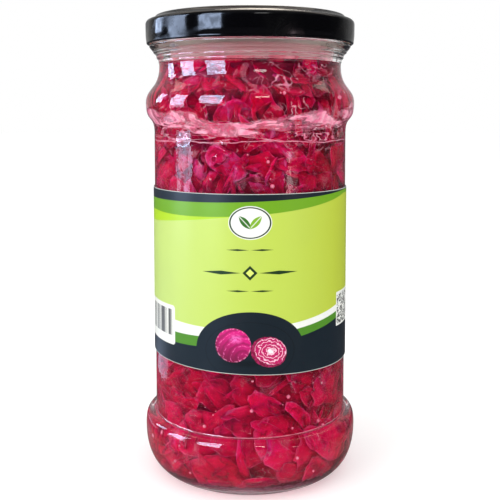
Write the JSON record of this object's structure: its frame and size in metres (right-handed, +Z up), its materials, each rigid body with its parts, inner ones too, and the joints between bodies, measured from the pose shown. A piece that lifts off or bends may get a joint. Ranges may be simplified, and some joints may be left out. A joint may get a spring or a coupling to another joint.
{
  "type": "fermented red cabbage jar",
  "caption": "Tall clear glass jar of shredded red cabbage in brine, with a pinched neck, a stepped base, a black twist-off lid and a wrap-round paper label.",
  "frame": {"origin": "middle of the jar's foot, on the surface that it stands on", "axes": "+Z up along the jar's axis; the middle of the label faces -Y"},
  "size_m": [0.089, 0.089, 0.1883],
  "materials": {
    "clear_glass": "clear, smooth soda-lime glass",
    "lid_enamel": "gloss black enamel on tinplate",
    "printed_paper": "semi-gloss printed paper in lime, green, white and navy",
    "red_cabbage": "wet crimson shredded cabbage"
  },
  "bodies": {
    "root": {"glass_jar": "clear_glass", "twist_off_lid": "lid_enamel", "wrap_label": "printed_paper", "shredded_cabbage": "red_cabbage"}
  },
  "joints": []
}
